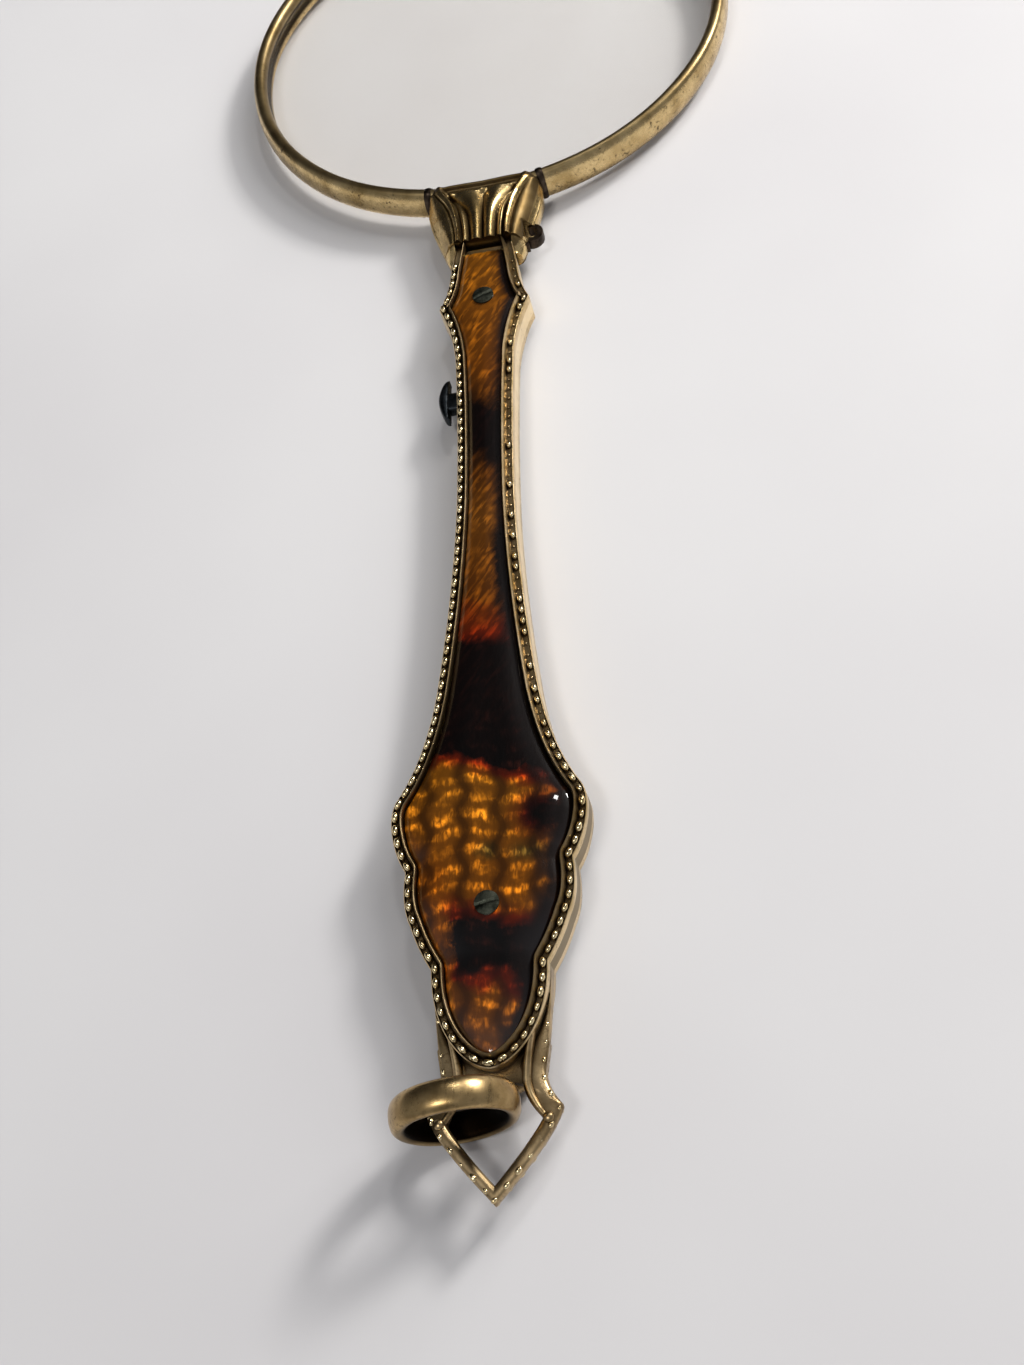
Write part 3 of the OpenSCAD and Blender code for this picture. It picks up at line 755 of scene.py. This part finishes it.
def build_wall():
    """Side wall between the shells, parted by the button's slot and the hook's slot."""
    right = resample(HALF_PANEL, 0.12)
    left = [Vector((-p.x, p.y, 0)) for p in reversed(right)]
    parts = Parts()
    parts.sweep([p for p in right if p.y < HOOK_LOW] + [p for p in left if p.y < SLOT_LOW], wall_section)
    obj = new_object("handle_wall", parts, "handle", ["handle_side_band"], WALL_GOLD,
                     sharp=50)
    # Side wall darker towards the foot, over the lobes
    set_grime_and_shade(obj, lambda x, y, z: 0.72 * ease((-41.0 - y) / 5.0))
    parts = Parts()
    parts.sweep([p for p in left if p.y > SLOT_TOP], wall_section)
    new_object("collar_wall", parts, "handle", ["collar_side_band"], WALL_GOLD, sharp=50)


# ---------------------------------------------------------------- collar

COLLAR_TOP = 4.05
COLLAR_LOW = -3.4
# Level of the plane where the collar's two halves meet
COLLAR_BACK = 1.65
NOTCH_X, NOTCH_LOW, NOTCH_TOP = 2.95, -1.97, -0.73


# Half widths of the collar and of its front face, as (level, half width)
OUTER = [(4.05, 4.08), (3.9, 4.2), (3.6, 4.32), (3.2, 4.39), (2.0, 4.4), (0.9, 4.2), (-0.1, 3.9),
         (-1.0, 3.6), (-1.7, 3.35), (-3.1, 2.85), (-3.4, 2.7)]
FACE = [(4.05, 3.85), (3.85, 3.93), (3.4, 3.82), (2.7, 3.42), (2.0, 2.98), (1.2, 2.64), (0.3, 2.4),
        (-0.6, 2.22), (-1.5, 2.12), (-2.4, 2.1), (-3.4, 2.12)]


def rib_height(u, y):
    """Depth below the collar's crest: the fan's valleys, the cove above them and the top roll."""
    curl = u * (1 - 0.34 * ease((y - 0.2) / 3.0))
    rib = abs(math.cos(math.pi * (curl * 2.15 + 0.5)))
    end = 3.35 - 0.4 * (1 - rib)
    on = ease((y + 2.45) / 0.3) * (1 - ease((y - end + 0.25) / 0.4))
    valley = 0.5 * (1 - rib ** 0.9) * on
    cove = 0.34 * ease((y - 3.0) / 0.35) * (1 - ease((y - 3.5) / 0.2))
    roll = 0.6 * ease((y - 3.72) / 0.33) ** 2
    return valley + cove + roll + 0.12 * (1 - abs(u)) * ease((y - 0.5) / 2.5)


def collar_row(y):
    """Cross-section of the collar's front half at one level, from left to right."""
    n_face, n_cheek = 96, 12
    w_out = table(y, OUTER)
    w_face = table(y, FACE)
    cheek_z = 2.05
    crest = 3.36

    def cheek(t):
        bulge = math.sin(t * math.pi) * 0.12
        x = w_out + (w_face + 0.02 - w_out) * t + bulge * 0.5
        drop = 0.6 * ease((y - 3.1) / 0.9)
        return x, cheek_z + (crest - 0.12 - drop - cheek_z) * ease(t) ** 0.8 + bulge

    sides = [cheek(k / n_cheek) for k in range(n_cheek)]
    row = [(-x, y, z) for x, z in sides]
    for k in range(n_face + 1):
        u = -1 + 2 * k / n_face
        edge = math.exp(-((abs(u) - 0.86) / 0.06) ** 2)
        low = rib_height(u, y)
        low *= 1 - ease((abs(u) - 0.72) / 0.14) * (1 - ease((y - 3.6) / 0.4))
        gutter = math.exp(-((abs(u) - 0.73) / 0.06) ** 2) * 0.3 * (1 - ease((y - 3.0) / 0.5))
        low += 0.22 * ease((abs(u) - 0.94) / 0.06) + gutter + 0.35 * ease((y - 3.1) / 0.9) * abs(u) ** 6
        row.append((u * w_face, y, crest - low + 0.16 * edge))
    row += [(x, y, z) for x, z in reversed(sides)]
    return row


def collar_cheek(parts, side):
    """Cheek that runs on below the recess edge and closes over the handle's shoulder."""
    inner = 2.13
    low_z = 1.95
    rows = []
    for y in np.linspace(PANEL_TOP + 0.02, COLLAR_LOW, 16):
        t = (PANEL_TOP - y) / (PANEL_TOP - COLLAR_LOW)
        w_out = table(y, OUTER)
        top = 3.1 - 0.75 * ease(t)
        row = [(side * w_out, y, COLLAR_BACK)]
        for k in range(9):
            s = k / 8
            x = w_out + (inner - w_out) * s
            row.append((side * x, y, low_z + (top - low_z) * math.sin(s * math.pi / 2)))
        row.append((side * inner, y, COLLAR_BACK))
        rows.append(row)
    parts.grid(rows, caps=True)


def collar_grime_and_painted_shadow(x, y, z):
    """Dark cove, cheek and gutter of the collar, and painted shadow on the recess wall over the inlay."""
    if abs(z - MID) < 0.9:
        return 0.0
    high = 0.88 * ease((y - 3.0) / 0.5)
    # Painted shadow along the recess wall where the inlay starts
    wall = 1.0 if y < PANEL_TOP + 0.03 and abs(x) < 2.1 else 0.0
    cheek = 0.82 if x > table(y, FACE) - 0.03 else 0.0
    u = abs(x) / table(y, FACE)
    gutter = 0.9 * math.exp(-((u - 0.72) / 0.05) ** 2) if z > 2.8 else 0.0
    return max(high, wall, cheek, gutter)


def build_collar(word):
    """One half of the fluted collar, with the notch where the hook grips the catch pin."""
    parts = Parts()
    rows = [collar_row(y) for y in np.linspace(PANEL_TOP - 0.02, COLLAR_TOP, 110)]
    rows = [[(r[0][0], r[0][1], COLLAR_BACK)] + r + [(r[-1][0], r[-1][1], COLLAR_BACK)] for r in rows]
    parts.grid(rows, caps=True)
    for side in (-1, 1):
        collar_cheek(parts, side)
    parts.verts = [(min(x, NOTCH_X) if NOTCH_LOW < y < NOTCH_TOP else x, y, z) for x, y, z in parts.verts]
    if word == "back":
        parts = parts.flip_front()
        parts.verts = [(x, y, max(z, 0.0)) for x, y, z in parts.verts]
    obj = new_object(word + "_collar", parts, "handle", ["collar_" + word], COLLAR_GOLD,
                     sharp=55)
    set_grime_and_shade(obj, collar_grime_and_painted_shadow)


# ---------------------------------------------------------------- loop and ring

def loop_limbs(parts, half_thick):
    """Rounded bars between the loop's outer edge and its opening, one on each side."""
    outer = resample(HALF_LOOP, 0.15)
    tip = [p for p in HALF_TIP if p[1] > -62.9]
    heart = [p for p in HALF_HEART if p[1] < -64.45]
    inner = resample(tip + [(1.35, -63.3)] + heart, 0.15)
    last = len(outer) - 1
    inner = [inner[round(i * (len(inner) - 1) / last)] for i in range(last + 1)]
    for side in (-1, 1):
        rows = []
        for o, n in zip(outer, inner):
            mx, my = (o.x + n.x) / 2, (o.y + n.y) / 2
            ring = []
            for a in turns(16):
                c, s = boxy(math.cos(a), 0.6), boxy(math.sin(a), 0.6)
                ring.append((side * (mx + (o.x - mx) * c), my + (o.y - my) * c, MID + half_thick * s))
            rows.append(ring)
        parts.grid(rows, close_cols=True, caps=True)


def loop_scrolls(parts):
    """Ridge from the tip's arch down each shoulder to a knob at the corner of the opening."""
    scroll = chain((2.25, -61.6), ((1.9, -62.9), (1.85, -64.1)), ((1.95, -65.2), (2.95, -66.2)))
    for side in (-1, 1):
        line = resample([(side * x, y) for x, y in scroll], 0.1)
        for p in line:
            p.z = MID - 0.35
        last = len(line) - 1

        def ridge(i):
            k = i / last
            w = 0.2 + 0.07 * math.sin(math.pi * min(1, k * 1.1))
            h = 0.46 - 0.2 * k
            return [(w * math.cos(a), 0.78 + h * 0.5 + h * math.sin(a) - 0.4 * k) for a in turns(12)]

        parts.sweep(line, ridge)
        parts.ball(Vector((side * 2.95, -66.15, MID + 0.45)), Vector((0, 0, 1)), Vector((1, 0, 0)),
                   (0.2, 0.3, 0.3), seg=14, rings=10)


def loop_wear(_p):
    """Size of a bead on the loop, uneven all round."""
    return 0.8 + random.uniform(-0.3, 0.25)


def build_loop():
    """Heart-shaped loop at the handle's foot, with beads along its edge on both faces."""
    half_thick = 0.44
    half_web = 0.32
    parts = Parts()
    loop_limbs(parts, half_thick)
    # Small bar across the tip, against the handle's back
    arch = resample([(-1.6, -63.6), (-0.8, -63.95), (0.0, -64.02), (0.8, -63.95), (1.6, -63.6)], 0.15)
    parts.sweep(arch, lambda _i: [(0.34 * math.cos(a), half_thick * math.sin(a)) for a in turns(14)])
    # Thin web that closes the shoulders round the tip
    web = [(0.0, -62.9), (1.5, -62.6), (2.6, -61.2), (3.1, -62.2), (2.75, -64.5), (1.95, -64.4),
           (1.0, -64.15), (0.0, -64.1)]
    web += [(-x, y) for x, y in web[-2:0:-1]]
    faces = [[(x, y, z) for x, y in web] for z in (MID - half_web, MID + half_web)]
    parts.grid(faces, close_cols=True, caps=True)
    loop_scrolls(parts)
    beads = Parts()
    right_edge = resample(HALF_LOOP, 0.1)
    edge = right_edge + [Vector((-p.x, p.y, 0)) for p in reversed(right_edge[:-1])]
    for z in (MID + 0.38, MID - 0.38):
        bead_row(beads, inset(edge, 0.17), z, 0.95, (0.24, 0.16, 0.15), loop_wear)
    new_object("heart_loop", parts, "handle", ["ring_loop"], LOOP_GOLD, sharp=60)
    new_object("loop_beads", beads, "handle", [], BEAD_GOLD)


def build_ring():
    """Broad band with a rounded outside, slightly uneven from wear."""
    lo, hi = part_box("suspension_ring")
    cz = (lo.z + hi.z) / 2 / MM
    centre = Vector((-1.87, -65.7, cz))
    tilt = math.radians(8)
    u = Vector((math.cos(tilt), math.sin(tilt), 0))
    axis = Vector((math.sin(tilt), -math.cos(tilt), 0))
    up = Vector((0, 0, 1))
    r_out, band, half_width = 3.5, 0.8, 1.75 / 2
    rows = []
    for a in turns(160):
        wobble = 0.018 * math.sin(3 * a + 0.6) + 0.012 * math.sin(7 * a)
        d = u * math.cos(a) + up * math.sin(a)
        row = []
        for k in range(17):
            f = math.pi * k / 16
            r = r_out - band + 0.3 + (band - 0.3) * math.sin(f) ** 0.8 + wobble
            row.append(centre + d * r + axis * (half_width * boxy(math.cos(f), 0.85)))
        inside = r_out - band + wobble * 0.5
        for s in (-0.86, -0.5, 0.0, 0.5, 0.86):
            row.append(centre + d * (inside + 0.06 * s * s) + axis * (half_width * s))
        rows.append([tuple(p) for p in row])
    parts = Parts()
    parts.grid(rows, close_rows=True, close_cols=True)
    obj = new_object("hanging_ring", parts, "ring", ["suspension_ring"], RING_GOLD, sharp=75)

    # Painted shade on the ring's inner face
    def ring_painted_shade(x, y, z):
        d = Vector((x, y, z)) - centre
        r = (d - axis * d.dot(axis)).length
        return 1.0 - ease((r - (r_out - band) - 0.12) / 0.24)

    set_grime_and_shade(obj, ring_painted_shade)


# ---------------------------------------------------------------- rims and lenses

# The bridge's hinge lies FOLD_OUT from the first lens's centre, PHI clockwise from the handle's line
PHI = math.radians(35)
FOLD_OUT = 27
FOLD_POINT = Vector((math.sin(PHI) * FOLD_OUT, LENS_Y + math.cos(PHI) * FOLD_OUT, MID + STACK / 2))
FOLD_AXIS = Vector((math.cos(PHI), -math.sin(PHI), 0))
# Name, body and CAD name of a rim and its lens, by whether they fold
WHICH = {False: ("first", "handle", "fixed"), True: ("second", "folding_lens", "folding")}


def unfolded(p):
    """Half turn about the bridge's hinge, from the closed place to the open one."""
    half_turn = Matrix.Rotation(math.pi, 3, FOLD_AXIS)
    return FOLD_POINT + half_turn @ (Vector(p) - FOLD_POINT)


def rim_rows():
    """Rim about its own centre, split at the foot, with a groove for the lens inside."""
    gap = math.asin(2.0 / RIM_R)
    steps = 260
    rows = []
    for i in range(steps + 1):
        a = -math.pi / 2 + gap + (2 * math.pi - 2 * gap) * i / steps
        c, s = math.cos(a), math.sin(a)
        uneven = 0.012 * math.sin(5 * a + 1) + 0.01 * math.sin(11 * a)
        row = []
        for f in turns(24):
            r = RIM_R - RIM_W / 2 + (RIM_W / 2) * boxy(math.cos(f), 0.9)
            if math.cos(f) < -0.3 and abs(math.sin(f)) < 0.5:
                r += 0.28 * (1 - abs(math.sin(f)) / 0.5)
            r += uneven
            row.append((c * r, s * r, (RIM_H / 2) * boxy(math.sin(f), 0.9)))
        rows.append(row)
    return rows


def rim_painted_reflection(x, y, z):
    """Painted dark reflection on the inner slope of the first rim's front."""
    across = (math.hypot(x, y - LENS_Y) - (RIM_R - RIM_W)) / RIM_W
    return 0.6 * ease((z - MID) / 0.4) * (1 - ease((across - 0.68) / 0.2))


def build_rim(folding):
    """Rim of the first lens, or of the second one, drawn closed and then swung open."""
    lift = STACK if folding else 0.0
    rows = [[(x, LENS_Y + y, MID + lift + z) for x, y, z in row] for row in rim_rows()]
    if folding:
        rows = [[tuple(unfolded(p)) for p in row] for row in rows]
    parts = Parts()
    parts.grid(rows, close_cols=True, caps=True)
    word, body, kind = WHICH[folding]
    obj = new_object(word + "_rim", parts, body, [kind + "_rim"], RIM_GOLD, sharp=60)
    if not folding:
        set_grime_and_shade(obj, rim_painted_reflection)


def build_sleeves():
    """Thin steel sleeves where the first rim runs into the collar."""
    parts = Parts()
    start = math.asin(4.2 / RIM_R)
    length = math.radians(1.5)
    steps = 8
    for side in (-1, 1):
        rows = []
        for i in range(steps + 1):
            a = -math.pi / 2 + side * (start + length * i / steps)
            swell = 0.06 + 0.05 * math.sin(math.pi * i / steps)
            row = []
            for f in turns(28):
                r = RIM_R - RIM_W / 2 + (RIM_W / 2 + swell) * boxy(math.cos(f), 0.9)
                z = (RIM_H / 2 + swell) * boxy(math.sin(f), 0.9)
                row.append((math.cos(a) * r, LENS_Y + math.sin(a) * r, MID + z))
            rows.append(row)
        parts.grid(rows, close_cols=True, caps=True)
    new_object("rim_sleeves", parts, "handle", ["rim_ferrules"], BROWNED, sharp=60)


def build_lens(folding):
    """Lens with both faces slightly domed and its edge set in the rim's groove."""
    r_edge = RIM_R - RIM_W
    steps = 26

    def ring(r, z):
        return [(r * math.cos(a), LENS_Y + r * math.sin(a), MID + z) for a in turns(120)]

    circles = [(r_edge * k / steps, 0.45 + 0.5 * (1 - (k / steps) ** 2)) for k in range(steps + 1)]
    rows = [ring(r, z) for r, z in circles] + [ring(r_edge + 0.2, 0)]
    rows += [ring(r, -z) for r, z in reversed(circles)]
    if folding:
        rows = [[tuple(unfolded((x, y, z + STACK))) for x, y, z in row] for row in rows]
    parts = Parts()
    parts.grid(rows, close_cols=True)
    word, body, kind = WHICH[folding]
    new_object(word + "_lens", parts, body, [kind + "_lens"], GLASS, sharp=40)


# ---------------------------------------------------------------- small fittings

def screw(parts, centre, r, z0, z_top, slot_turn):
    """Low domed head with a worn slot. z_top is the crown and z0 the underside."""
    half_slot, slot_depth = 0.08, 0.07
    rings = 7
    ca, sa = math.cos(slot_turn), math.sin(slot_turn)
    rows = []
    for k in range(rings + 1):
        rr = r * k / rings
        row = []
        for a in turns(40):
            x, y = rr * math.cos(a), rr * math.sin(a)
            z = z_top - 0.05 * (rr / r) ** 2.5
            across = abs(-x * sa + y * ca)
            if across < half_slot + 0.03:
                z -= slot_depth * (1 - ease((across - half_slot + 0.03) / 0.06))
            row.append((centre[0] + x, centre[1] + y, z))
        rows.append(row)
    rows.append([(centre[0] + r * math.cos(a), centre[1] + r * math.sin(a), z0) for a in turns(40)])
    parts.grid(rows, close_cols=True)


def build_screws(word):
    """Heads of the two screws that hold one inlay."""
    parts = Parts()
    for (spot, r, top), slot_turn in zip(SCREWS, (0.35, 0.25)):
        screw(parts, spot, r, 2.56, top, slot_turn)
    if word == "back":
        parts = parts.flip_front()
    new_object(word + "_screw_heads", parts, "handle", [word + "_inlay_screws"], STEEL, sharp=40)


def build_button():
    """Curved thumb piece on a short stem."""
    parts = Parts()
    (x0, y0, z0), (x1, y1, z1) = [[c / MM for c in corner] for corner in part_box("release_button")]
    head_w = 0.84
    rows = []
    steps = 40
    for i in range(steps + 1):
        t = i / steps
        y = y0 + (y1 - y0) * t
        bow = math.sin(math.pi * (t ** 0.8)) ** 0.4
        out = head_w * bow * (0.72 + 0.28 * ease(t * 1.6))
        row = []
        for f in turns(20):
            c, s = boxy(math.cos(f), 0.7), boxy(math.sin(f), 0.7)
            x = x0 + head_w - out / 2 - c * out / 2
            row.append((x, y, MID + s * (z1 - z0) / 2 * (0.55 + 0.45 * bow)))
        rows.append(row)
    parts.grid(rows, close_cols=True, caps=True)
    stem_y = -16.4
    rows = []
    for x in np.linspace(x0 + head_w - 0.1, x1, 10):
        rows.append([(x, stem_y + 0.8 * boxy(math.cos(f), 0.5), MID + 0.48 * boxy(math.sin(f), 0.5))
                     for f in turns(20)])
    parts.grid(rows, close_cols=True, caps=True)
    new_object("thumb_button", parts, "latch", ["release_button"], BLUED, sharp=60)


def softened(node, name, material, body, width):
    """Copy of a CAD piece with its edges rounded over."""
    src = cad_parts[node]
    mesh = src.data.copy()
    mesh.name = name
    bm = bmesh.new()
    bm.from_mesh(mesh)
    bmesh.ops.remove_doubles(bm, verts=bm.verts, dist=2e-6)
    bmesh.ops.dissolve_limit(bm, angle_limit=math.radians(1.5), verts=bm.verts, edges=bm.edges)
    edges = [e for e in bm.edges if len(e.link_faces) == 2 and e.calc_face_angle(0) > math.radians(28)]
    bmesh.ops.bevel(bm, geom=edges, offset=width * MM, segments=3, profile=0.6, affect="EDGES",
                    clamp_overlap=True)
    bm.to_mesh(mesh)
    bm.free()
    mesh.materials.clear()
    mesh.materials.append(material)
    mesh.shade_smooth()
    mesh.set_sharp_from_angle(angle=math.radians(50))
    obj = linked(name, mesh)
    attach(obj, body)
    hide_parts(node)


# ---------------------------------------------------------------- assembly

for face in ("front", "back"):
    build_shell(face)
    build_inlay(face)
    build_collar(face)
    build_screws(face)
build_wall()
build_loop()
build_ring()
for is_folding in (False, True):
    build_rim(is_folding)
    build_lens(is_folding)
build_button()
build_sleeves()

# CAD pieces that keep their shape and only get softened edges
SOFT = [
    ("fixed_hinge_arm", "first_bridge_arm", GOLD, "gilt_brass", "handle", 0.12),
    ("folding_hinge_arm", "second_bridge_arm", GOLD, "gilt_brass", "folding_lens", 0.12),
    ("hinge_pin", "bridge_pin", BRIGHT_STEEL, "steel", "handle", 0.06),
    ("catch_lug", "catch_strap", GOLD, "gilt_brass", "folding_lens", 0.1),
    ("catch_pin", "catch_post", STEEL, "steel", "folding_lens", 0.06),
    ("rim_closing_screw", "closing_screw_head", STEEL, "steel", "folding_lens", 0.04),
    ("rim_clamp_screw", "clamp_screw_head", STEEL, "steel", "handle", 0.04),
    ("latch_lever", "lever_and_hook", BROWNED, "blued_steel", "latch", 0.07),
]
for node, name, material, slot, body, width in SOFT:
    softened(node, name, material, body, width)

# CAD pieces that are kept as they are and only get a material
CARRIED = {
    "screw_posts": STEEL, "rim_clamp_block": STEEL, "latch_pivot_pin": BRIGHT_STEEL,
    "latch_return_spring": BRIGHT_STEEL, "bridge_spring": BLUED, "front_foil": FOIL, "back_foil": FOIL,
}
for node, material in CARRIED.items():
    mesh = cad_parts[node].data
    mesh.materials.clear()
    mesh.materials.append(material)


# ---------------------------------------------------------------- floor, light, camera

def build_floor():
    """Plane that touches the ring below and the second rim beyond, in metres."""
    low_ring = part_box("suspension_ring")[0].z
    low_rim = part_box("folding_rim")[0].z
    y_ring, y_rim = -0.0659, 0.087
    clearance = 0.00002
    slope = (low_rim - low_ring) / (y_rim - y_ring)
    s = 1.5
    corners = ((-s, -s), (s, -s), (s, s), (-s, s))
    verts = [(x, y, low_ring - clearance + slope * (y - y_ring)) for x, y in corners]
    mesh = bpy.data.meshes.new("floor")
    mesh.from_pydata(verts, [], [(0, 1, 2, 3)])
    obj = linked("floor", mesh)
    mesh.materials.append(pale_floor("floor_surface"))


def area_light(name, place, aim, size, power, color):
    """Rectangular light at a place in metres, turned towards its aim."""
    data = bpy.data.lights.new(name, "AREA")
    data.shape = "RECTANGLE"
    data.size, data.size_y = size
    data.energy = power
    data.color = color
    obj = linked(name, data)
    obj.location = place
    obj.rotation_euler = (Vector(aim) - Vector(place)).to_track_quat("-Z", "Y").to_euler()
    return obj


def build_lights():
    """Window to the right with its soft surround, a weak light overhead, and a small glint."""
    area_light("window", (0.26, 0.21, 0.22), (0, -0.03, 0), (0.07, 0.07), 1.15, (1.0, 0.98, 0.95))
    wide = area_light("window_wide", (0.25, 0.21, 0.24), (0, -0.03, 0), (0.3, 0.3), 1.35, (1.0, 0.98, 0.96))
    wide.visible_glossy = False
    area_light("overhead", (-0.07, -0.17, 0.36), (0, -0.04, 0), (0.09, 0.06), 0.34, (1.0, 0.99, 0.97))
    area_light("glint", (0.076, 0.166, 0.355), (0.003, -0.05, 0.003), (0.045, 0.045), 0.17,
               (1.0, 0.99, 0.97))


def build_world():
    """Room air that fades from a cool glow to near darkness."""
    world = bpy.data.worlds.new("room_air")
    world.use_nodes = True
    tree = world.node_tree
    background = tree.nodes["Background"]
    where = tree.nodes.new("ShaderNodeTexCoord")
    split = tree.nodes.new("ShaderNodeSeparateXYZ")
    fade = tree.nodes.new("ShaderNodeValToRGB")
    for element, place, color in zip(fade.color_ramp.elements, (0.0, 0.35),
                                     ((0.55, 0.56, 0.60, 1), (0.045, 0.045, 0.05, 1))):
        element.position = place
        element.color = color
    tree.links.new(where.outputs["Generated"], split.inputs[0])
    tree.links.new(split.outputs[1], fade.inputs[0])
    tree.links.new(fade.outputs[0], background.inputs["Color"])
    background.inputs["Strength"].default_value = 0.5
    bpy.context.scene.world = world


def build_camera():
    """Camera that looks down the handle from its foot, in metres."""
    right = Vector((0.9763, -0.0151, -0.2160))
    up = Vector((0.1227, 0.8605, 0.4945))
    back = Vector((0.1784, -0.5092, 0.8419))
    place = Vector((0.01776, -0.08638, 0.07922))
    data = bpy.data.cameras.new("camera")
    data.sensor_fit = "HORIZONTAL"
    data.sensor_width = 36
    data.lens = 52.73
    data.clip_start = 0.002
    data.clip_end = 10
    camera = linked("camera", data)
    camera.matrix_world = Matrix.Translation(place) @ Matrix((right, up, back)).transposed().to_4x4()
    bpy.context.scene.camera = camera
    bpy.context.scene.view_settings.view_transform = "Standard"


build_floor()
build_lights()
build_world()
build_camera()
